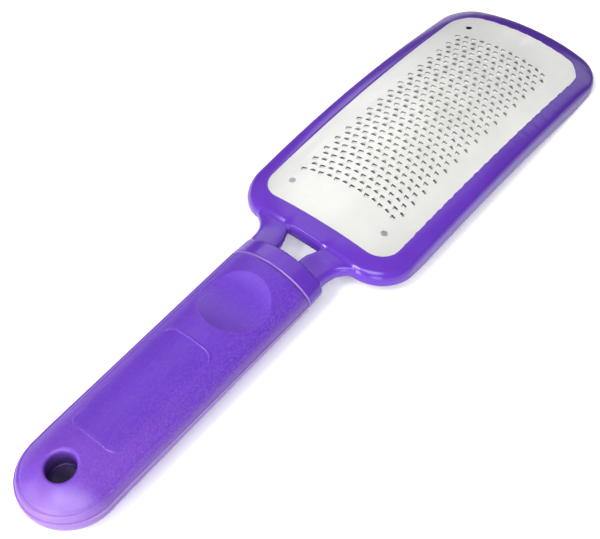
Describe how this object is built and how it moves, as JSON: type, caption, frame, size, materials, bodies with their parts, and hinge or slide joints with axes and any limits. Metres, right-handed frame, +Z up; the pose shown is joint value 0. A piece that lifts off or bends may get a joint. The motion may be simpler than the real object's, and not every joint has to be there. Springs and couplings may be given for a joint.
{
  "type": "foot file",
  "caption": "Two-way rasp plate in a bowed moulded frame, joined by two prongs and an oval collar to a straight two-shell handle with a thumb dish and a hang hole.",
  "frame": {"origin": "on the ground plane, under the centre of the bounding box of the tool as it lies with its teeth up", "axes": "+X towards the tip, +Y to the left seen from the handle, +Z up, the way the teeth face"},
  "size_m": [0.2683, 0.0692, 0.0199],
  "materials": {
    "plate_steel": "soft satin",
    "frame_gloss": "gloss",
    "handle_matte": "fine satin"
  },
  "bodies": {
    "root": {"rasp_plate": "plate_steel", "head_frame": "frame_gloss", "handle_upper_shell": "handle_matte", "handle_lower_shell": "handle_matte"}
  },
  "joints": []
}
